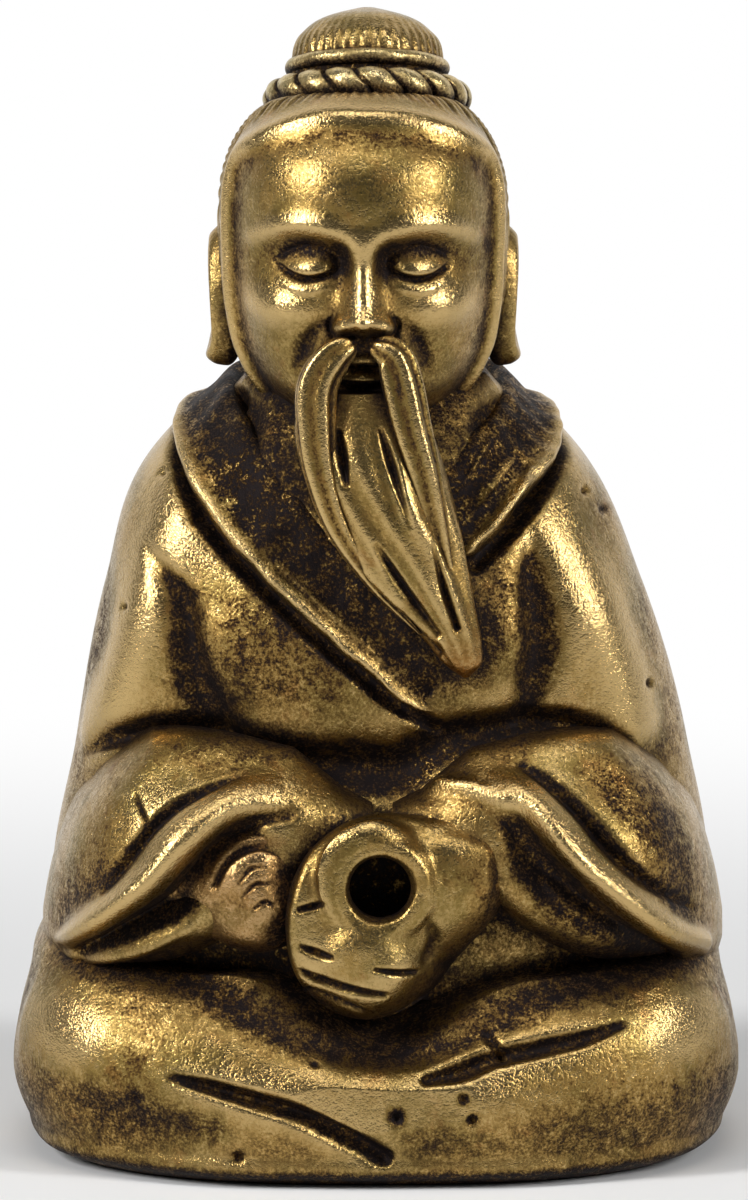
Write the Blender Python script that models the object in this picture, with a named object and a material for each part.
"""Seated sage in cast brass, 45 mm tall, fitted together from separately cast sections.

The figure faces -Y and sits on the plane Z = 0, with its origin under its middle. Left and right are
the figure's own: its right side is at -X. Heights are measured up from the resting plane.
"""

import math

import bmesh
import bpy
import numpy as np
from mathutils import Matrix, Vector

MM = 0.001
CLEARANCE = 0.3 * MM  # air between two sections before they are soldered

# Crossed legs, the lowest casting
LAP_WIDTH = 28.7 * MM
LAP_DEPTH = 22.0 * MM
LAP_HEIGHT = 8.6 * MM
LAP_FULL_AT = 3.0 * MM  # height at which the knees reach furthest
SOLE_WIDTH = 24.6 * MM
SOLE_DEPTH = 18.8 * MM
KNEE_SWELL = 0.6 * MM
LAP_DIP = 1.7 * MM
LAP_FOLD_DEPTH = 0.75 * MM
LAP_FOLD_WIDTH = 0.75 * MM

# Closing plate and the core cavity that it covers
PLATE_WIDTH = 17.0 * MM
PLATE_DEPTH = 12.0 * MM
PLATE_THICKNESS = 1.2 * MM
CAVITY_WIDTH = 14.0 * MM
CAVITY_DEPTH = 9.0 * MM
CAVITY_TOP = 4.6 * MM

# Robe, the torso with both upper arms
ROBE_HEIGHT = 22.0 * MM
SEAT_WIDTH = 25.6 * MM
SEAT_FRONT = 7.4 * MM
SEAT_BACK = 10.1 * MM
ELBOW_WIDTH = 24.2 * MM
ELBOW_FRONT = 6.5 * MM
ELBOW_BACK = 9.3 * MM
CHEST_WIDTH = 21.2 * MM
CHEST_FRONT = 6.6 * MM
CHEST_BACK = 8.3 * MM
SHOULDER_WIDTH = 17.4 * MM
SHOULDER_FRONT = 5.2 * MM
SHOULDER_BACK = 7.0 * MM
NECK_EDGE_WIDTH = 10.2 * MM
NECK_EDGE_FRONT = 3.1 * MM
NECK_EDGE_BACK = 5.9 * MM
ARM_CREASE_DEPTH = 0.7 * MM
ARM_CREASE_WIDTH = 0.9 * MM
BELLY_VALLEY_DEPTH = 0.9 * MM
BELLY_VALLEY_WIDTH = 0.9 * MM

# Tenon under the robe and the two pins through it
TENON_WIDTH = 9.0 * MM
TENON_DEPTH = 5.6 * MM
TENON_LENGTH = 4.2 * MM
TENON_BACK = 1.0 * MM  # how far behind the middle the tenon stands
SEAT_PIN_DIAMETER = 1.2 * MM
SEAT_PIN_SPACING = 4.6 * MM
SEAT_PIN_DROP = 2.4 * MM  # the pins below the robe's foot
SEAT_PIN_LENGTH = 9.4 * MM
SEAT_PIN_INSET = 0.5 * MM  # the pin's outer end below the back of the robe's foot

# Sleeves and the dowels that hold them
SLEEVE_START = 1.0 * MM  # from the middle to the sleeve's inner tip
SLEEVE_REACH = 12.4 * MM  # from that tip out to the elbow's widest point
SLEEVE_FALL = 8.6 * MM  # from the hem up to the highest fold
SLEEVE_FRONT = 9.7 * MM
HEM_SINK = 0.9 * MM  # how far the hem hangs below the top of the lap
CUFF_ROLL_WIDTH = 0.9 * MM
CUFF_ROLL_RISE = 0.55 * MM
CUFF_MOUTH_WIDTH = 1.0 * MM
CUFF_MOUTH_DEPTH = 1.1 * MM
DOWEL_PLACE = 0.60  # along the sleeve, as a share of its reach
DOWEL_DIAMETER = 1.4 * MM
DOWEL_LENGTH = 4.0 * MM

# Hands
FIST_WIDTH = 6.8 * MM
FIST_HEIGHT = 8.2 * MM
FIST_DEPTH = 5.8 * MM
FIST_ASIDE = -0.1 * MM
FIST_SETBACK = 3.35 * MM  # the fist's middle behind the front of the lap
FIST_RISE = 1.9 * MM  # the fist's middle above the top of the lap
WRIST_LENGTH = 4.3 * MM
GRIP_BORE = 2.4 * MM
GRIP_DEPTH = 5.0 * MM
GRIP_RISE = 1.45 * MM  # the bore's mouth above the middle of the fist
GRIP_TILT = math.radians(12)  # the rod leans up towards its tip
GRIP_LIP = 0.45 * MM
GRIP_LIP_WIDTH = 0.4 * MM
FINGER_GROOVE = 0.35 * MM
FINGER_GROOVE_WIDTH = 0.3 * MM
PALM_WIDTH = 4.4 * MM
PALM_HEIGHT = 5.0 * MM
PALM_DEPTH = 4.0 * MM
PALM_ASIDE = -4.5 * MM
PALM_SETBACK = 3.1 * MM
PALM_RISE = 3.0 * MM

# Collar bands
BAND_WIDTH = 3.4 * MM
BAND_THICKNESS = 1.3 * MM
BAND_PROUD = 0.25 * MM
BAND_SPLIT = 1.6  # degrees from the middle of the back to each band's end

# Head
HEAD_WIDTH = 10.7 * MM
HEAD_FRONT = 7.0 * MM
HEAD_BACK = 6.4 * MM
HEAD_HEIGHT = 13.0 * MM
CHIN_SINK = 1.6 * MM  # how far the chin sinks below the robe's neck edge
HEAD_ASIDE = -0.5 * MM
HAIRLINE_STEP = 0.3 * MM
NOSE_RISE = 1.15 * MM
EAR_HEIGHT = 5.6 * MM
EAR_DEPTH = 2.4 * MM
EAR_THICKNESS = 1.7 * MM
EAR_SINK = 0.05 * MM  # the ear's middle below the side of the head
EAR_LEAN = math.radians(8)
NECK_TENON_DIAMETER = 5.4 * MM
NECK_TENON_LENGTH = 4.0 * MM
NECK_PIN_DIAMETER = 1.0 * MM
NECK_PIN_LENGTH = 6.0 * MM
NECK_PIN_DROP = 2.1 * MM  # the pin below the chin
NECK_PIN_BACK = 6.8 * MM

# Topknot and its two cords
KNOT_WIDTH = 6.0 * MM
KNOT_DEPTH = 5.8 * MM
KNOT_HEIGHT = 4.2 * MM
KNOT_SINK = 1.435 * MM  # the knot's foot below the crown
KNOT_ASIDE = -0.35 * MM
KNOT_BACK = 1.1 * MM
KNOT_LEAN = math.radians(18)  # the knot leans back with the crown
KNOT_TENON_DIAMETER = 2.4 * MM
KNOT_TENON_LENGTH = 1.8 * MM
BRAID_RADIUS = 3.45 * MM
BRAID_THICKNESS = 1.15 * MM
BRAID_LUMPS = 16
BRAID_LUMP_RISE = 0.12
BRAID_LIFT = 0.62 * MM  # the braid's middle above the knot's foot
CORD_RADIUS = 2.95 * MM
CORD_THICKNESS = 0.55 * MM
CORD_LIFT = 1.2 * MM  # the plain cord above the braid

# Beard
BEARD_TOP_WIDTH = 6.2 * MM
BEARD_LENGTH = 11.2 * MM
BEARD_SWAY = 4.9 * MM  # how far the tip swings to the figure's left
BEARD_FRONT = 8.3 * MM
BEARD_TOP_RISE = 1.7 * MM  # the beard's top above the chin
STRAND_RISE = 2.0 * MM  # the moustache's top above the beard's
STRAND_WIDTH = 1.5 * MM
STRAND_THICKNESS = 1.05 * MM
BEARD_PEG_DIAMETER = 1.2 * MM
BEARD_PEG_LENGTH = 1.6 * MM
BEARD_PEG_RISE = 0.95 * MM

# Places worked out from the sizes
LAP_FRONT = LAP_DEPTH / 2
SEAT_HEIGHT = LAP_HEIGHT + CLEARANCE
ROBE_TOP = SEAT_HEIGHT + ROBE_HEIGHT
SLEEVE_HEM = LAP_HEIGHT - HEM_SINK
CHIN = ROBE_TOP - CHIN_SINK
CROWN = CHIN + HEAD_HEIGHT
BEARD_TOP = CHIN + BEARD_TOP_RISE


def new_collection(name):
    """A collection of its own under the scene."""
    made = bpy.data.collections.new(name)
    bpy.context.scene.collection.children.link(made)
    return made


def metal(name, colour, roughness):
    """A plain cast-metal material."""
    made = bpy.data.materials.new(name)
    made.use_nodes = True
    shader = made.node_tree.nodes["Principled BSDF"]
    shader.inputs["Base Color"].default_value = (*colour, 1.0)
    shader.inputs["Roughness"].default_value = roughness
    shader.inputs["Metallic"].default_value = 1.0
    return made


def between(knots, rows, places):
    """Values at the given places on a smooth curve through the rows, which stand at the knots.

    Each stretch is a cubic whose end slopes are those of the rows on either side of its ends.
    """
    knots = np.asarray(knots, float)
    rows = np.asarray(rows, float)
    slopes = np.gradient(rows, knots, axis=0)
    index = np.clip(np.searchsorted(knots, places, side="right") - 1, 0, len(knots) - 2)
    span = knots[index + 1] - knots[index]
    t = ((places - knots[index]) / span)[:, None]
    span = span[:, None]
    start = (2 * t**3 - 3 * t**2 + 1) * rows[index] + (t**3 - 2 * t**2 + t) * span * slopes[index]
    end = (3 * t**2 - 2 * t**3) * rows[index + 1] + (t**3 - t**2) * span * slopes[index + 1]
    return start + end


def rounded(angles, power):
    """Cosine and sine raised so that power 2 is an ellipse and more is squarer."""
    c, s = np.cos(angles), np.sin(angles)
    return np.sign(c) * np.abs(c) ** (2 / power), np.sign(s) * np.abs(s) ** (2 / power)


def skin(name, rings):
    """A closed object over stacked rings, each end closed by one flat face."""
    count, sides = rings.shape[:2]
    faces = []
    for row in range(count - 1):
        for i in range(sides):
            j = (i + 1) % sides
            below, above = row * sides, (row + 1) * sides
            faces.append((below + i, below + j, above + j, above + i))
    faces.append(tuple(range(sides))[::-1])
    faces.append(tuple(range((count - 1) * sides, count * sides)))
    mesh = bpy.data.meshes.new(name)
    mesh.from_pydata(rings.reshape(-1, 3).tolist(), [], faces)
    face_outwards(mesh)
    return bpy.data.objects.new(name, mesh)


def face_outwards(mesh):
    """Turns every face of a closed mesh outwards."""
    work = bmesh.new()
    work.from_mesh(mesh)
    bmesh.ops.recalc_face_normals(work, faces=work.faces)
    work.to_mesh(mesh)
    work.free()


def outward(rings):
    """Unit directions square to a grid of rings, pointing away from each ring's middle."""
    around = np.roll(rings, -1, axis=1) - np.roll(rings, 1, axis=1)
    along = np.gradient(rings, axis=0)
    square = np.cross(around, along)
    square /= np.linalg.norm(square, axis=2, keepdims=True) + 1e-12
    away = rings - rings.mean(axis=1, keepdims=True)
    sign = np.sign((square * away).sum(axis=(1, 2)))
    sign[sign == 0] = 1
    return square * sign[:, None, None]


def nearness(points, path):
    """Distance from each 2D point to the nearest stretch of a path."""
    best = np.full(points.shape[:-1], np.inf)
    for a, b in zip(path[:-1], path[1:]):
        a, b = np.asarray(a), np.asarray(b)
        run = b - a
        share = np.clip(((points - a) @ run) / (run @ run), 0, 1)
        best = np.minimum(best, np.linalg.norm(points - a - share[..., None] * run, axis=-1))
    return best


def fold(rings, path, width, height):
    """Raises or sinks the front of a grid along a path in X and Z, by a bell of the distance."""
    square = outward(rings)
    facing = np.clip(-square[..., 1] * 2, 0, 1)
    bell = np.exp(-((nearness(rings[..., ::2], path) / width) ** 2))
    return rings + square * (height * bell * facing)[..., None]


def swell(rings, middle, widths, height):
    """Raises or sinks a grid by a bell round a point, with a width along each axis."""
    away = (rings - np.asarray(middle)) / np.asarray(widths)
    bell = np.exp(-(away**2).sum(axis=-1))
    return rings + outward(rings) * (height * bell)[..., None]


def upright_rings(heights, sections, sides, power, crowd=0.0):
    """Level rings. A section is the middle in X, the half width, and the reach to front and back of Y = 0.

    Crowd draws the points together towards the front.
    """
    angles = np.arange(sides) * 2 * math.pi / sides
    angles = angles + crowd * np.cos(angles)
    across, deep = rounded(angles, power)
    middle, half, front, back = (sections[:, i, None] for i in range(4))
    x = middle + across * half
    y = (back - front) / 2 + deep * (back + front) / 2
    z = np.broadcast_to(heights[:, None], x.shape)
    return np.stack([x, y, z], axis=-1)


def sideways_rings(sections, sides, power, crowd=0.0):
    """Rings square to X. A section is X, the middle in Y and Z, and the half sizes in Y and Z.

    Crowd draws the points together towards the front.
    """
    angles = np.arange(sides) * 2 * math.pi / sides
    angles = angles + crowd * np.sin(angles)
    deep, high = rounded(angles, power)
    x, y, z, half_y, half_z = (sections[:, i, None] for i in range(5))
    return np.stack(np.broadcast_arrays(x, y + deep * half_y, z + high * half_z), axis=-1)


def swept_rings(points, normals, half_wide, half_thick, sides, power):
    """Rings along a path, each with its thickness along the given normal."""
    along = np.gradient(points, axis=0)
    along /= np.linalg.norm(along, axis=1, keepdims=True)
    wide = np.cross(normals, along)
    wide /= np.linalg.norm(wide, axis=1, keepdims=True)
    thick = np.cross(along, wide)
    angles = np.arange(sides) * 2 * math.pi / sides
    a, b = rounded(angles, power)
    spread = wide[:, None] * (a * half_wide[:, None])[..., None]
    return points[:, None] + spread + thick[:, None] * (b * half_thick[:, None])[..., None]


def ring_cord(name, middle, radius, thickness, lean, turns, sides, lumps, rise):
    """A closed cord lying round in a plane that leans back, with lumps along it where it is braided."""
    around = np.arange(turns) * 2 * math.pi / turns
    section = np.arange(sides) * 2 * math.pi / sides
    thick = thickness / 2 * (1 + rise * np.cos(lumps * around))[:, None]
    out = radius + thick * np.cos(section)
    local = np.stack([out * np.cos(around)[:, None], out * np.sin(around)[:, None],
                      thick * np.sin(section)], axis=-1)
    c, s = math.cos(lean), math.sin(lean)
    x = local[..., 0] + middle[0]
    y = local[..., 1] * c + local[..., 2] * s + middle[1]
    z = -local[..., 1] * s + local[..., 2] * c + middle[2]
    points = np.stack([x, y, z], axis=-1).reshape(-1, 3)
    faces = []
    for i in range(turns):
        for j in range(sides):
            a, b = i * sides, ((i + 1) % turns) * sides
            k = (j + 1) % sides
            faces.append((a + j, b + j, b + k, a + k))
    mesh = bpy.data.meshes.new(name)
    mesh.from_pydata(points.tolist(), [], faces)
    face_outwards(mesh)
    return bpy.data.objects.new(name, mesh)


def rod(name, diameter, length, middle, direction, sides=16):
    """A round rod with flat ends, its middle and direction given."""
    mesh = bpy.data.meshes.new(name)
    work = bmesh.new()
    bmesh.ops.create_cone(work, cap_ends=True, segments=sides, radius1=diameter / 2,
                          radius2=diameter / 2, depth=length)
    turn = Vector((0, 0, 1)).rotation_difference(Vector(direction)).to_matrix().to_4x4()
    bmesh.ops.transform(work, matrix=turn, verts=work.verts)
    bmesh.ops.translate(work, vec=Vector(middle), verts=work.verts)
    work.to_mesh(mesh)
    work.free()
    return bpy.data.objects.new(name, mesh)


def oval_block(name, width, depth, bottom, top, middle=(0, 0), sides=40, power=2.6):
    """An upright block with a rounded oblong outline."""
    half = np.array([[middle[0], width / 2, depth / 2, depth / 2]] * 2)
    rings = upright_rings(np.array([bottom, top]), half, sides, power)
    rings[..., 1] += middle[1]
    return skin(name, rings)


def ball(name, middle, half_sizes, lean=0.0):
    """A smooth ellipsoid with its three half sizes, leant about the X axis."""
    mesh = bpy.data.meshes.new(name)
    work = bmesh.new()
    bmesh.ops.create_uvsphere(work, u_segments=16, v_segments=10, radius=1.0)
    place = Matrix.Translation(middle) @ Matrix.Rotation(lean, 4, "X") @ Matrix.Diagonal((*half_sizes, 1))
    bmesh.ops.transform(work, matrix=place, verts=work.verts)
    work.to_mesh(mesh)
    work.free()
    mesh.shade_smooth()
    return bpy.data.objects.new(name, mesh)


def place_part(made, material):
    """Puts a finished section in the figure's collection, shaded smooth."""
    figure.objects.link(made)
    made.data.materials.clear()
    made.data.materials.append(material)
    made.data.shade_smooth()
    made.data.set_sharp_from_angle(angle=math.radians(50))
    return made


def as_tool(made):
    """Keeps an object as a cutter or as stock to be joined on."""
    tools.objects.link(made)
    made.hide_render = True
    made.display_type = "WIRE"
    return made


def grown(source, by=CLEARANCE):
    """A cutter: a copy of a section's plain form, larger by the clearance all round."""
    copy = as_tool(bpy.data.objects.new(source.name + "_room", source.data.copy()))
    swollen = copy.modifiers.new("clearance", "DISPLACE")
    swollen.strength = by
    swollen.mid_level = 0.0
    return copy


def carve(target, *cutters, solver="EXACT"):
    """Takes each cutter out of the target."""
    for cutter in cutters:
        cut = target.modifiers.new("clear_" + cutter.name, "BOOLEAN")
        cut.operation = "DIFFERENCE"
        cut.object = cutter
        cut.solver = solver


def join_on(target, *additions, solver="EXACT"):
    """Makes each addition one body with the target."""
    for addition in additions:
        joint = target.modifiers.new("with_" + addition.name, "BOOLEAN")
        joint.operation = "UNION"
        joint.object = as_tool(addition)
        joint.solver = solver


for old in list(bpy.data.objects):
    bpy.data.objects.remove(old, do_unlink=True)
figure = new_collection("seated_sage_figure")
tools = new_collection("cutters_and_stock")
brass = metal("cast_brass", (0.55, 0.43, 0.19), 0.32)
dark_brass = metal("patinated_brass", (0.20, 0.15, 0.09), 0.45)
pale_brass = metal("rubbed_brass", (0.72, 0.62, 0.32), 0.26)


# Crossed legs: both knees and the front of the lap, flat underneath
LAP_SIDES = 40
lap_knots = np.array([0.0, 0.05, 0.16, 0.35, 0.60, 0.80, 0.93, 1.0]) * LAP_HEIGHT
lap_knots[3] = LAP_FULL_AT


def lap_section(width, front, back):
    """Half width, front and back reach as shares of the lap's full sizes."""
    return (0.0, width * LAP_WIDTH / 2, front * LAP_DEPTH / 2, back * LAP_DEPTH / 2)


lap_rows = np.array([
    (0.0, SOLE_WIDTH / 2, SOLE_DEPTH / 2, SOLE_DEPTH / 2),
    (0.0, SOLE_WIDTH / 2 + 0.035 * LAP_WIDTH, SOLE_DEPTH / 2 + 0.04 * LAP_DEPTH,
     SOLE_DEPTH / 2 + 0.04 * LAP_DEPTH),
    lap_section(0.965, 0.96, 0.975),
    lap_section(1.0, 1.0, 1.0),
    lap_section(0.985, 0.965, 0.985),
    lap_section(0.955, 0.90, 0.955),
    lap_section(0.94, 0.84, 0.935),
    lap_section(0.92, 0.78, 0.92),
])
lap_heights = np.concatenate([lap_knots[:3], np.linspace(lap_knots[2], LAP_HEIGHT, 10)[1:]])
lap_rings = upright_rings(lap_heights, between(lap_knots, lap_rows, lap_heights), LAP_SIDES, 2.5)


def on_lap(across, up):
    """A place on the front of the lap, as shares of its half width and height."""
    return (across * LAP_WIDTH / 2, up * LAP_HEIGHT)


lap_inner = lap_rings[1:-1]
knee_spread = (0.24 * LAP_WIDTH / 2, 0.31 * LAP_FRONT, 0.26 * LAP_HEIGHT)
for side in (-1, 1):
    knee = (side * 0.72 * LAP_WIDTH / 2, -0.66 * LAP_FRONT, 0.62 * LAP_HEIGHT)
    lap_inner = swell(lap_inner, knee, knee_spread, KNEE_SWELL)
lap_inner = swell(lap_inner, (0, -0.9 * LAP_FRONT, 0.85 * LAP_HEIGHT),
                  (0.36 * LAP_WIDTH / 2, 0.36 * LAP_FRONT, 0.30 * LAP_HEIGHT), -LAP_DIP)
lap_inner = fold(lap_inner, [on_lap(-0.53, 0.53), on_lap(-0.2, 0.38), on_lap(0.03, 0.16)],
                 LAP_FOLD_WIDTH, -LAP_FOLD_DEPTH)
lap_inner = fold(lap_inner, [on_lap(0.16, 0.5), on_lap(0.4, 0.6), on_lap(0.63, 0.74)],
                 LAP_FOLD_WIDTH, -LAP_FOLD_DEPTH)
half_lap = np.array([LAP_WIDTH / 2, LAP_DEPTH / 2])
lap_inner[..., :2] = np.clip(lap_inner[..., :2], -half_lap, half_lap)
lap_rings[1:-1] = lap_inner
legs = place_part(skin("crossed_legs", lap_rings), brass)

cavity = as_tool(oval_block("core_cavity", CAVITY_WIDTH, CAVITY_DEPTH, -MM, CAVITY_TOP))
plate_room = as_tool(oval_block("plate_rebate", PLATE_WIDTH + 2 * CLEARANCE, PLATE_DEPTH + 2 * CLEARANCE,
                                -MM, PLATE_THICKNESS + CLEARANCE))
place_part(oval_block("base_plate", PLATE_WIDTH, PLATE_DEPTH, 0.0, PLATE_THICKNESS), dark_brass)

# Tenon under the robe, through the top of the legs into the cavity
tenon_bottom = SEAT_HEIGHT - TENON_LENGTH
tenon = oval_block("robe_tenon", TENON_WIDTH, TENON_DEPTH, tenon_bottom, SEAT_HEIGHT + 2 * MM,
                   (0, TENON_BACK), 32)
mortise = as_tool(oval_block("tenon_mortise", TENON_WIDTH + 2 * CLEARANCE, TENON_DEPTH + 2 * CLEARANCE,
                             CAVITY_TOP - MM, SEAT_HEIGHT + MM, (0, TENON_BACK), 32))

seat_pin_rooms = []
for side, where in ((-1, "right"), (1, "left")):
    pin_at = (side * SEAT_PIN_SPACING / 2, SEAT_BACK - SEAT_PIN_INSET - SEAT_PIN_LENGTH / 2,
              SEAT_HEIGHT - SEAT_PIN_DROP)
    place_part(rod(where + "_seat_pin", SEAT_PIN_DIAMETER, SEAT_PIN_LENGTH, pin_at, (0, 1, 0), 12),
               pale_brass)
    room_at = (pin_at[0], pin_at[1] + SEAT_PIN_LENGTH / 2, pin_at[2])
    seat_pin_rooms.append(as_tool(rod(where + "_seat_pin_hole", SEAT_PIN_DIAMETER + 2 * CLEARANCE,
                                      2 * (SEAT_PIN_LENGTH + CLEARANCE), room_at, (0, 1, 0), 12)))


# Robe: the torso and both upper arms in one casting
ROBE_SIDES = 38
ROBE_POWER = 2.35
robe_knots = SEAT_HEIGHT + np.array([0.0, 0.32, 0.61, 0.83, 1.0]) * ROBE_HEIGHT
robe_rows = np.array([
    (0.0, SEAT_WIDTH / 2, SEAT_FRONT, SEAT_BACK),
    (0.0, ELBOW_WIDTH / 2, ELBOW_FRONT, ELBOW_BACK),
    (-0.2 * MM, CHEST_WIDTH / 2, CHEST_FRONT, CHEST_BACK),
    (-0.4 * MM, SHOULDER_WIDTH / 2, SHOULDER_FRONT, SHOULDER_BACK),
    (-0.35 * MM, NECK_EDGE_WIDTH / 2, NECK_EDGE_FRONT, NECK_EDGE_BACK),
])
robe_heights = np.linspace(SEAT_HEIGHT, ROBE_TOP, 16)
robe_sections = between(robe_knots, robe_rows, robe_heights)
robe_rings = upright_rings(robe_heights, robe_sections, ROBE_SIDES, ROBE_POWER)


def on_robe(across, up):
    """A place on the front of the robe, as shares of half the chest's width and of the robe's height."""
    return (across * CHEST_WIDTH / 2, SEAT_HEIGHT + up * ROBE_HEIGHT)


robe_inner = robe_rings[1:-1]
robe_inner = fold(robe_inner, [on_robe(-0.86, 0.72), on_robe(-0.70, 0.62), on_robe(-0.66, 0.5),
                               on_robe(-0.60, 0.36)], ARM_CREASE_WIDTH, -ARM_CREASE_DEPTH)
robe_inner = fold(robe_inner, [on_robe(0.60, 0.66), on_robe(0.60, 0.52), on_robe(0.52, 0.36)],
                  ARM_CREASE_WIDTH, -ARM_CREASE_DEPTH)
robe_inner = fold(robe_inner, [on_robe(-1.07, 0.33), on_robe(-0.76, 0.385), on_robe(-0.43, 0.35),
                               on_robe(0.0, 0.32), on_robe(0.34, 0.375), on_robe(0.69, 0.395),
                               on_robe(0.94, 0.335)],
                  BELLY_VALLEY_WIDTH, -BELLY_VALLEY_DEPTH)
robe_rings[1:-1] = robe_inner
robe = place_part(skin("robe_body", robe_rings), brass)


# Sleeves: each hangs from the elbow across the front, its cuff rolled over a low open mouth
SLEEVE_SIDES = 22
SLEEVE_ROWS = 17
sleeve_shares = np.array([0.0, 0.13, 0.27, 0.42, 0.58, 0.73, 0.84, 0.91, 0.96, 1.0])
# top and bottom as shares from the hem up, front and back as shares of the front's reach
sleeve_shape = np.array([
    (0.85, 0.57, 0.84, 0.53),
    (0.92, 0.49, 0.92, 0.47),
    (0.965, 0.35, 0.96, 0.39),
    (1.00, 0.19, 0.99, 0.25),
    (1.00, 0.08, 1.00, 0.04),
    (0.95, 0.035, 0.93, -0.16),
    (0.85, 0.00, 0.78, -0.29),
    (0.70, 0.00, 0.61, -0.31),
    (0.50, 0.00, 0.43, -0.25),
    (0.22, 0.06, 0.14, -0.06),
])
# places on a sleeve's front, as shares of its reach and of its fall
cuff_roll = [(0.28, 0.87), (0.40, 0.82), (0.50, 0.72), (0.60, 0.53), (0.73, 0.37), (0.89, 0.14)]
cuff_mouth = [(0.36, 0.68), (0.47, 0.53), (0.58, 0.37), (0.71, 0.25), (0.85, 0.13)]


def sleeve_rings(side):
    """Rings square to X from the sleeve's inner tip out to the elbow."""
    shares = np.concatenate([np.linspace(0, 0.90, SLEEVE_ROWS - 3), [0.94, 0.97, 1.0]])
    top, bottom, front, back = between(sleeve_shares, sleeve_shape, shares).T
    sections = np.stack([
        side * (SLEEVE_START + shares * SLEEVE_REACH),
        -(front + back) / 2 * SLEEVE_FRONT,
        SLEEVE_HEM + (top + bottom) / 2 * SLEEVE_FALL,
        (front - back) / 2 * SLEEVE_FRONT,
        (top - bottom) / 2 * SLEEVE_FALL,
    ], axis=1)
    return sideways_rings(sections, SLEEVE_SIDES, 2.3, 0.35)


# The dowel crosses the sleeve's back face, half in the sleeve and half in the robe
dowel_top, dowel_bottom, _, dowel_back = between(sleeve_shares, sleeve_shape, [DOWEL_PLACE])[0]
dowel_rise = (dowel_top + dowel_bottom) / 2


def on_sleeve(side, across, up):
    """A place on a sleeve's front, in X and Z."""
    return (side * (SLEEVE_START + across * SLEEVE_REACH), SLEEVE_HEM + up * SLEEVE_FALL)


sleeves, sleeve_rooms, dowel_rooms = {}, [], []
for side, where in ((-1, "right"), (1, "left")):
    rings = sleeve_rings(side)
    sleeve_rooms.append(grown(skin(where + "_plain_sleeve", rings)))
    rings[1:-1] = fold(rings[1:-1], [on_sleeve(side, *place) for place in cuff_roll],
                       CUFF_ROLL_WIDTH, CUFF_ROLL_RISE)
    rings[1:-1] = fold(rings[1:-1], [on_sleeve(side, *place) for place in cuff_mouth],
                       CUFF_MOUTH_WIDTH, -CUFF_MOUTH_DEPTH)
    sleeves[where] = place_part(skin(where + "_sleeve", rings), brass)
    dowel_x, dowel_z = on_sleeve(side, DOWEL_PLACE, dowel_rise)
    dowel_at = (dowel_x, -dowel_back * SLEEVE_FRONT, dowel_z)
    place_part(rod(where + "_sleeve_dowel", DOWEL_DIAMETER, DOWEL_LENGTH, dowel_at, (0, 1, 0), 12),
               pale_brass)
    dowel_rooms.append(as_tool(rod(where + "_dowel_hole", DOWEL_DIAMETER + 2 * CLEARANCE,
                                   DOWEL_LENGTH + 2 * CLEARANCE, dowel_at, (0, 1, 0), 12)))


# Rod hand: a closed fist on the figure's left wrist, bored for a thin rod
HAND_SIDES = 20
fx, fy, fz = FIST_ASIDE, -(LAP_FRONT - FIST_SETBACK), LAP_HEIGHT + FIST_RISE
half_fist = FIST_WIDTH / 2
fist_knots = np.array([-1.0, -0.93, -0.72, -0.3, 0.2, 0.6, 1.0, 1.6, 2.2, 3.1])
# Y and Z shift and half sizes, as shares of the fist's half depth and half height
fist_shape = np.array([
    (0.05, -0.05, 0.22, 0.22),
    (0.04, -0.05, 0.58, 0.58),
    (0.02, -0.03, 0.86, 0.86),
    (0.00, 0.00, 1.00, 1.00),
    (0.00, 0.02, 1.00, 0.98),
    (0.06, 0.10, 0.94, 0.84),
    (0.14, 0.26, 0.80, 0.62),
    (0.32, 0.38, 0.62, 0.50),
    (0.50, 0.42, 0.52, 0.42),
    (0.60, 0.44, 0.44, 0.36),
])
wrist_share = (fist_knots - 1) / (fist_knots[-1] - 1)
fist_knots_m = fx + np.where(fist_knots <= 1, fist_knots * half_fist, half_fist + wrist_share * WRIST_LENGTH)
fist_places = np.concatenate([fist_knots_m[:2], np.linspace(fist_knots_m[2], fist_knots_m[-1], 15)])
shift_y, shift_z, half_y, half_z = between(fist_knots_m, fist_shape, fist_places).T
fist_sections = np.stack([
    fist_places,
    fy + shift_y * FIST_DEPTH / 2,
    fz + shift_z * FIST_HEIGHT / 2,
    half_y * FIST_DEPTH / 2,
    half_z * FIST_HEIGHT / 2,
], axis=1)
fist_rings = sideways_rings(fist_sections, HAND_SIDES, 2.2)
bore_mouth = (fx, fz + GRIP_RISE)
lip_distance = np.linalg.norm(fist_rings[..., ::2] - np.array(bore_mouth), axis=-1)
lip = np.exp(-(((lip_distance - 0.75 * GRIP_BORE) / GRIP_LIP_WIDTH) ** 2))
lip_facing = np.clip(-outward(fist_rings)[..., 1], 0, 1)
fist_rings[..., 1] -= GRIP_LIP * lip * lip_facing
for step in range(3):
    low = fz - (0.30 + 0.22 * step) * FIST_HEIGHT / 2
    groove_line = [(fx - 0.95 * half_fist, low + 0.04 * FIST_HEIGHT), (fx - 0.1 * half_fist, low)]
    fist_rings[1:] = fold(fist_rings[1:], groove_line, FINGER_GROOVE_WIDTH, -FINGER_GROOVE)
rod_hand = place_part(skin("rod_hand", fist_rings), pale_brass)
rod_hand_room = grown(rod_hand)
bore_lean = (0, -math.cos(GRIP_TILT), math.sin(GRIP_TILT))
grip_front = fy - FIST_DEPTH / 2
bore = as_tool(rod("grip_bore", GRIP_BORE, 2 * GRIP_DEPTH, (fx, grip_front, fz + GRIP_RISE), bore_lean, 20))
carve(rod_hand, bore)

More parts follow.
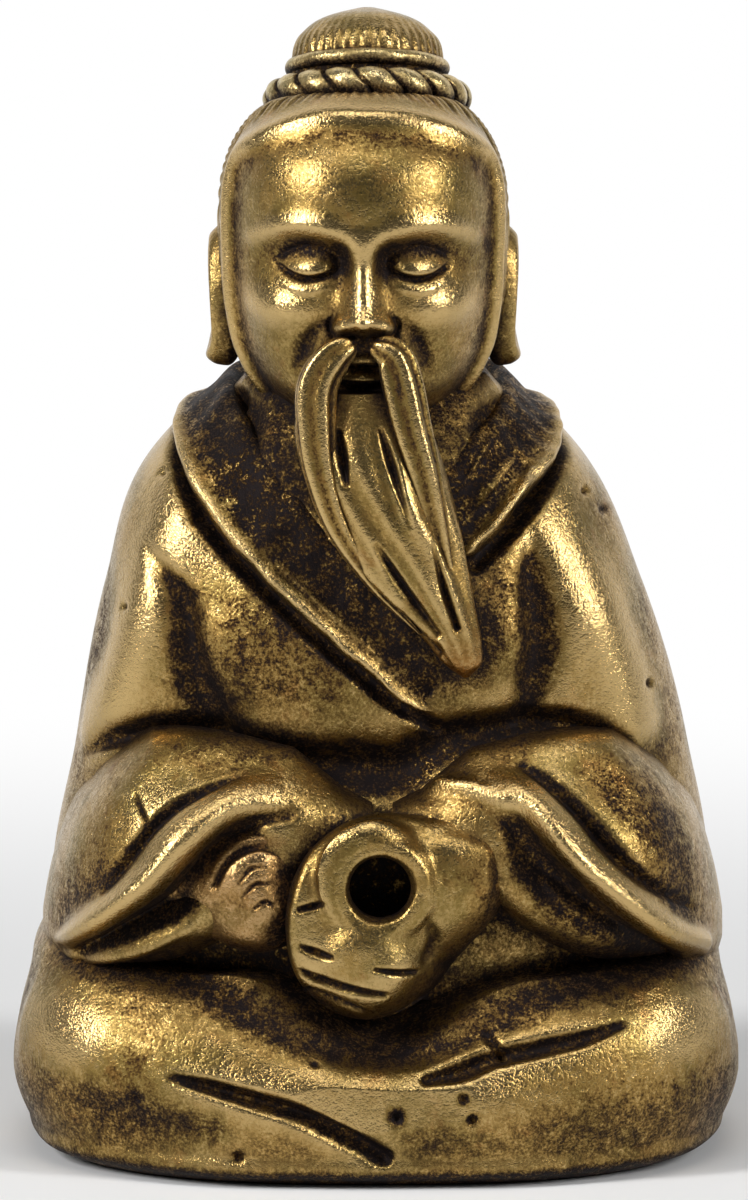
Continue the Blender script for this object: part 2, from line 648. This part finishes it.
# Resting hand: the figure's right hand, tucked behind the fist
px, py, pz = PALM_ASIDE, -(LAP_FRONT - PALM_SETBACK), LAP_HEIGHT + PALM_RISE
half_palm = PALM_WIDTH / 2
palm_knots = np.array([-2.1, -1.5, -0.9, -0.3, 0.4, 0.8, 1.0])
palm_shape = np.array([
    (0.75, 0.20, 0.62, 0.56),
    (0.50, 0.16, 0.74, 0.68),
    (0.22, 0.08, 0.90, 0.86),
    (0.02, 0.00, 1.00, 1.00),
    (0.00, 0.00, 1.00, 1.00),
    (0.00, 0.00, 0.80, 0.80),
    (0.00, 0.00, 0.40, 0.40),
])
palm_places = np.linspace(palm_knots[0], palm_knots[-1], 10)
shift_y, shift_z, half_y, half_z = between(palm_knots, palm_shape, palm_places).T
palm_sections = np.stack([
    px + palm_places * half_palm,
    py + shift_y * PALM_DEPTH / 2,
    pz + shift_z * PALM_HEIGHT / 2,
    half_y * PALM_DEPTH / 2,
    half_z * PALM_HEIGHT / 2,
], axis=1)
palm_rings = sideways_rings(palm_sections, HAND_SIDES, 2.2)
resting_hand = place_part(skin("resting_hand", palm_rings), brass)
resting_hand_room = grown(resting_hand)
carve(resting_hand, rod_hand_room)


# Head: skull, face and both ears, on a round neck tenon
HEAD_SIDES = 40
head_shares = np.array([0.0, 0.08, 0.20, 0.34, 0.48, 0.62, 0.73, 0.84, 0.91, 0.965, 1.0])
head_shape = np.array([
    (0.42, 0.70, 0.50),
    (0.68, 0.90, 0.66),
    (0.88, 0.96, 0.80),
    (0.97, 0.97, 0.92),
    (1.00, 0.96, 0.98),
    (1.00, 0.99, 0.97),
    (0.97, 0.98, 0.87),
    (0.865, 0.87, 0.64),
    (0.73, 0.74, 0.48),
    (0.58, 0.58, 0.36),
    (0.42, 0.40, 0.28),
])
head_places = np.concatenate([np.linspace(0.0, 0.665, 19), [0.72, 0.78, 0.84, 0.90, 0.94, 0.975, 1.0]])
head_sizes = between(head_shares, head_shape, head_places) * (HEAD_WIDTH / 2, HEAD_FRONT, HEAD_BACK)
head_sections = np.column_stack([np.full_like(head_places, HEAD_ASIDE), head_sizes])
head_rings = upright_rings(CHIN + head_places * HEAD_HEIGHT, head_sections, HEAD_SIDES, 2.15, -0.55)


def on_face(across, up):
    """A place on the face, as shares of half the head's width and of the height from chin to crown."""
    return (HEAD_ASIDE + across * HEAD_WIDTH / 2, CHIN + up * HEAD_HEIGHT)


def face_bump(rings, across, up, wide, high, height):
    """Raises or sinks the face round a place, with its width and height as shares of the head's."""
    x, z = on_face(across, up)
    middle = (x, -HEAD_FRONT * 0.92, z)
    widths = (wide * HEAD_WIDTH / 2, 0.6 * HEAD_FRONT, high * HEAD_HEIGHT)
    return swell(rings, middle, widths, height)


face = head_rings[1:-1]
# Eye hollows, closed lids, brows, cheeks and nostrils, one of each a side. Across and up, width and
# height are shares of the head's, and the last value is the rise.
for across, up, wide, high, rise in (
    (0.36, 0.530, 0.26, 0.060, -0.70 * MM),
    (0.38, 0.515, 0.19, 0.040, 0.55 * MM),
    (0.36, 0.610, 0.28, 0.030, 0.35 * MM),
    (0.50, 0.385, 0.22, 0.075, 0.40 * MM),
    (0.13, 0.345, 0.08, 0.032, 0.35 * MM),
):
    for side in (-1, 1):
        face = face_bump(face, side * across, up, wide, high, rise)
for up, share, wide in ((0.58, 0.25, 0.12), (0.50, 0.45, 0.12), (0.43, 0.65, 0.12), (0.365, 1.0, 0.13)):
    face = face_bump(face, 0.0, up, wide, 0.048, share * NOSE_RISE)
# Upper lip, lower lip and chin
face = face_bump(face, 0.0, 0.235, 0.24, 0.026, 0.30 * MM)
face = face_bump(face, 0.0, 0.170, 0.20, 0.024, 0.35 * MM)
face = face_bump(face, 0.0, 0.070, 0.24, 0.055, 0.35 * MM)
hair_edge = np.abs(face[..., 0] - HEAD_ASIDE) / (HEAD_WIDTH / 2)
hair_height = CHIN + HEAD_HEIGHT * (0.93 - 0.16 * hair_edge**3)
behind = (face[..., 2] > hair_height) | (face[..., 1] > -0.30 * HEAD_FRONT)
face = face + outward(face) * (HAIRLINE_STEP * behind)[..., None]
head_rings[1:-1] = face
head = place_part(skin("head", head_rings), pale_brass)
head_room = grown(head)

neck_bottom = CHIN - NECK_TENON_LENGTH
neck_length = NECK_TENON_LENGTH + 2 * MM
neck_middle = (HEAD_ASIDE, 0.0, neck_bottom + neck_length / 2)
neck = rod("neck_tenon", NECK_TENON_DIAMETER, neck_length, neck_middle, (0, 0, 1), 24)
neck_room = as_tool(rod("neck_socket", NECK_TENON_DIAMETER + 2 * CLEARANCE, neck_length + 2 * CLEARANCE,
                        neck_middle, (0, 0, 1), 24))
ear_middle = CHIN + 0.335 * HEAD_HEIGHT
ears = [
    ball(where + "_ear", (HEAD_ASIDE + side * (HEAD_WIDTH / 2 - EAR_SINK), 0.04 * HEAD_FRONT, ear_middle),
         (EAR_THICKNESS / 2, EAR_DEPTH / 2, EAR_HEIGHT / 2), EAR_LEAN)
    for side, where in ((-1, "right"), (1, "left"))
]
join_on(head, neck, *ears)
for side, where in ((-1, "right"), (1, "left")):
    hollow_at = (HEAD_ASIDE + side * (HEAD_WIDTH + EAR_THICKNESS) / 2, -0.06 * HEAD_FRONT,
                 ear_middle + 0.09 * EAR_HEIGHT)
    carve(head, as_tool(ball(where + "_ear_hollow", hollow_at,
                             (0.45 * EAR_THICKNESS, 0.28 * EAR_DEPTH, 0.24 * EAR_HEIGHT), EAR_LEAN)))

neck_pin_at = (HEAD_ASIDE, NECK_PIN_BACK - NECK_PIN_LENGTH / 2, CHIN - NECK_PIN_DROP)
place_part(rod("neck_pin", NECK_PIN_DIAMETER, NECK_PIN_LENGTH, neck_pin_at, (0, 1, 0), 12), pale_brass)
neck_pin_room_at = (neck_pin_at[0], NECK_PIN_BACK, neck_pin_at[2])
neck_pin_room = as_tool(rod("neck_pin_hole", NECK_PIN_DIAMETER + 2 * CLEARANCE,
                            2 * (NECK_PIN_LENGTH + CLEARANCE), neck_pin_room_at, (0, 1, 0), 12))


# Topknot with the braided cord round its foot and a plain cord above
knot_shares = np.array([0.0, 0.25, 0.5, 0.75, 0.92, 1.0])
knot_shape = np.array([(0.84, 0.84), (0.97, 0.97), (1.0, 1.0), (0.86, 0.86), (0.52, 0.52), (0.14, 0.14)])
knot_places = np.concatenate([np.linspace(0, 0.8, 6), [0.89, 0.96, 1.0]])
knot_sizes = between(knot_shares, knot_shape, knot_places) * (KNOT_WIDTH / 2, KNOT_DEPTH / 2)
knot_sections = np.column_stack([np.zeros_like(knot_places), knot_sizes, knot_sizes[:, 1]])
knot_rings = upright_rings(knot_places * KNOT_HEIGHT, knot_sections, 22, 2.0)
lean_c, lean_s = math.cos(KNOT_LEAN), math.sin(KNOT_LEAN)
knot_foot = CROWN - KNOT_SINK
knot_y = knot_rings[..., 1] * lean_c + knot_rings[..., 2] * lean_s + KNOT_BACK
knot_z = knot_rings[..., 2] * lean_c - knot_rings[..., 1] * lean_s + knot_foot
knot_rings = np.stack([knot_rings[..., 0] + KNOT_ASIDE, knot_y, knot_z], axis=-1)
topknot = place_part(skin("topknot", knot_rings), pale_brass)
knot_axis = (0, lean_s, lean_c)


def up_the_knot(lift):
    """A point on the knot's leaning axis, at a lift above its foot."""
    return (KNOT_ASIDE, KNOT_BACK + lift * lean_s, knot_foot + lift * lean_c)


knot_tenon = rod("topknot_tenon", KNOT_TENON_DIAMETER, 2 * KNOT_TENON_LENGTH, up_the_knot(0), knot_axis, 16)
knot_tenon_room = as_tool(rod("topknot_socket", KNOT_TENON_DIAMETER + 2 * CLEARANCE,
                              2 * (KNOT_TENON_LENGTH + CLEARANCE), up_the_knot(0), knot_axis, 16))
# The seat is a flat cut that slopes back across the whole crown, square to the knot's axis
knot_seat = as_tool(rod("topknot_seat", 1.2 * HEAD_WIDTH, KNOT_HEIGHT,
                        up_the_knot(KNOT_HEIGHT / 2 - CLEARANCE), knot_axis, 24))
join_on(topknot, knot_tenon)

braid_middle = up_the_knot(BRAID_LIFT)
braid = place_part(ring_cord("braided_cord", braid_middle, BRAID_RADIUS, BRAID_THICKNESS, KNOT_LEAN, 48, 6,
                             BRAID_LUMPS, BRAID_LUMP_RISE), pale_brass)
cord_middle = up_the_knot(BRAID_LIFT + CORD_LIFT)
cord = place_part(ring_cord("plain_cord", cord_middle, CORD_RADIUS, CORD_THICKNESS, KNOT_LEAN, 32, 6,
                            0, 0.0), pale_brass)
braid_room_thickness = BRAID_THICKNESS * (1 + BRAID_LUMP_RISE) + 2 * CLEARANCE
braid_room = as_tool(ring_cord("braid_room", braid_middle, BRAID_RADIUS, braid_room_thickness, KNOT_LEAN,
                               36, 8, 0, 0.0))
cord_room = as_tool(ring_cord("cord_room", cord_middle, CORD_RADIUS, CORD_THICKNESS + 2 * CLEARANCE,
                              KNOT_LEAN, 22, 6, 0, 0.0))
carve(topknot, braid_room, cord_room)


# Collar bands: strips laid round the neck and down the chest, the right one over the left
def robe_surface(turns, heights):
    """Points on the plain robe at angles round it and heights, with the directions square to it."""
    def at(turn, height):
        middle, half, front, back = between(robe_knots, robe_rows, height).T
        across, deep = rounded(turn, ROBE_POWER)
        along = (back - front) / 2 + deep * (back + front) / 2
        return np.stack([middle + across * half, along, height], axis=1)
    step = 1e-4
    points = at(turns, heights)
    square = np.cross(at(turns + 0.01, heights) - points, at(turns, heights + step) - points)
    square /= np.linalg.norm(square, axis=1, keepdims=True)
    return points, square


def collar_band(name, turn_degrees, drops, widths, rows=22, spare=0.0):
    """A flat band following angles round the robe, at drops below the robe's top edge.

    It starts square at the middle of the back and narrows at its front end. Each width is a share of the
    band's full width. With some spare all round it is the cutter that makes the band's room.
    """
    knots = np.linspace(0, 1, len(turn_degrees))
    course = np.stack([np.radians(turn_degrees), drops, widths], axis=1)
    path = between(knots, course, np.linspace(0, 1, rows))
    points, square = robe_surface(path[:, 0], ROBE_TOP - path[:, 1])
    points = points + square * (BAND_PROUD - BAND_THICKNESS / 2)
    taper = np.clip(np.arange(rows)[::-1] / 1.5 + 0.35, 0, 1)
    wide = taper * path[:, 2] * BAND_WIDTH / 2 + spare
    return skin(name, swept_rings(points, square, wide, taper * BAND_THICKNESS / 2 + spare, 10, 3.2))


# drops as shares of the robe's height and widths as shares of the band's full width
right_turns = [130, 165, 195, 218, 234, 247, 256, 265, 272, 278]
right_drops = np.array([0.045, 0.045, 0.05, 0.07, 0.105, 0.155, 0.223, 0.286, 0.364, 0.455, 0.555])
right_widths = [0.74, 0.74, 0.76, 0.85, 0.94, 1.0, 1.0, 1.0, 0.94, 0.82, 0.56]
left_turns = [50, 15, -12, -35, -50, -60, -68, -77]
left_drops = np.array([0.045, 0.045, 0.05, 0.07, 0.105, 0.13, 0.164, 0.21, 0.264])
left_widths = [0.74, 0.74, 0.76, 0.85, 0.91, 0.97, 0.97, 0.94, 0.82]


def right_course(start):
    """The right band's angles from the given start, its drops and its widths."""
    return [start, *right_turns], right_drops * ROBE_HEIGHT, right_widths


def left_course(start):
    """The left band's angles from the given start, its drops and its widths."""
    return [start, *left_turns], left_drops * ROBE_HEIGHT, left_widths


BACK_MIDDLE = 90.0  # degrees
ROOM_ROWS = 17
right_band = place_part(collar_band("right_lapel", *right_course(BACK_MIDDLE + BAND_SPLIT)), brass)
left_band = place_part(collar_band("left_lapel", *left_course(BACK_MIDDLE - BAND_SPLIT)), brass)
# Each room runs a little past the middle of the back, so no rib of the robe stands between the two ends
past = 0.4 * BAND_SPLIT
right_band_room = as_tool(collar_band("right_lapel_room", *right_course(BACK_MIDDLE - past), ROOM_ROWS,
                                      CLEARANCE))
left_band_room = as_tool(collar_band("left_lapel_room", *left_course(BACK_MIDDLE + past), ROOM_ROWS,
                                     CLEARANCE))


# Beard: one casting with the moustache, swinging to the figure's left, pegged into the chin
beard_shares = np.array([0.0, 0.10, 0.25, 0.42, 0.60, 0.75, 0.90, 1.0])
# middle as a share of the sway, half width as a share of half the top width, front and back as shares
beard_shape = np.array([
    (0.00, 0.62, 0.86, 0.60),
    (0.05, 0.90, 0.92, 0.62),
    (0.14, 1.00, 0.98, 0.64),
    (0.28, 0.86, 1.00, 0.66),
    (0.47, 0.68, 1.00, 0.70),
    (0.66, 0.54, 0.99, 0.74),
    (0.86, 0.38, 0.96, 0.78),
    (0.92, 0.12, 0.92, 0.86),
])
beard_places = np.concatenate([np.linspace(0, 0.9, 14), [0.96, 1.0]])
sway, wide, front, back = between(beard_shares, beard_shape, beard_places).T
beard_sections = np.stack([
    HEAD_ASIDE + (sway - 0.06) * BEARD_SWAY,
    wide * BEARD_TOP_WIDTH / 2,
    front * BEARD_FRONT,
    -back * BEARD_FRONT,
], axis=1)
beard_rings = upright_rings(BEARD_TOP - beard_places * BEARD_LENGTH, beard_sections, 20, 2.1)
beard = place_part(skin("beard", beard_rings), pale_brass)
beard_rooms = [grown(beard)]
beard_additions = []
# across as a share of half the beard's top width, sway and front as shares of the beard's own
strand_shape = np.array([
    (0.29, 0.00, 0.86),
    (0.62, 0.00, 0.845),
    (0.84, -0.02, 0.82),
    (0.85, 0.05, 0.867),
    (0.71, 0.20, 0.934),
    (0.52, 0.43, 0.96),
])
strand_heights = np.array([
    BEARD_TOP + 0.95 * STRAND_RISE,
    BEARD_TOP + 0.65 * STRAND_RISE,
    BEARD_TOP - 0.08 * BEARD_LENGTH,
    BEARD_TOP - 0.27 * BEARD_LENGTH,
    BEARD_TOP - 0.46 * BEARD_LENGTH,
    BEARD_TOP - 0.64 * BEARD_LENGTH,
])
STRAND_ROWS = 14
for side, where in ((-1, "right"), (1, "left")):
    strand_knots = np.stack([
        HEAD_ASIDE + side * strand_shape[:, 0] * BEARD_TOP_WIDTH / 2 + strand_shape[:, 1] * BEARD_SWAY,
        -strand_shape[:, 2] * BEARD_FRONT,
        strand_heights,
    ], axis=1)
    strand = between(np.linspace(0, 1, len(strand_knots)), strand_knots, np.linspace(0, 1, STRAND_ROWS))
    bulk = np.sin(np.linspace(0.25, math.pi - 0.3, STRAND_ROWS)) ** 0.6
    forward = np.tile((0.0, -1.0, 0.0), (STRAND_ROWS, 1))
    beard_additions.append(skin(where + "_moustache", swept_rings(
        strand, forward, bulk * STRAND_WIDTH / 2, bulk * STRAND_THICKNESS / 2, 8, 2.0)))
peg_at = (HEAD_ASIDE, -0.64 * BEARD_FRONT, CHIN + BEARD_PEG_RISE)
beard_additions.append(rod("beard_peg", BEARD_PEG_DIAMETER, 2 * BEARD_PEG_LENGTH, peg_at, (0, 1, 0), 12))
join_on(beard, *beard_additions)
beard_rooms += [grown(addition) for addition in beard_additions]

# Every section gives way to the ones laid over it
join_on(robe, tenon)
carve(robe, *seat_pin_rooms, *sleeve_rooms, *dowel_rooms, rod_hand_room, resting_hand_room, neck_room,
      neck_pin_room, head_room, right_band_room, left_band_room, *beard_rooms, solver="MANIFOLD")
carve(legs, cavity, plate_room, mortise, *seat_pin_rooms, *sleeve_rooms, rod_hand_room, resting_hand_room)
for where, dowel_room in zip(("right", "left"), dowel_rooms):
    carve(sleeves[where], dowel_room, rod_hand_room, resting_hand_room)
carve(head, neck_pin_room, knot_tenon_room, knot_seat, braid_room, *beard_rooms, solver="MANIFOLD")
carve(left_band, right_band_room, head_room, *beard_rooms)
carve(right_band, head_room, *beard_rooms)
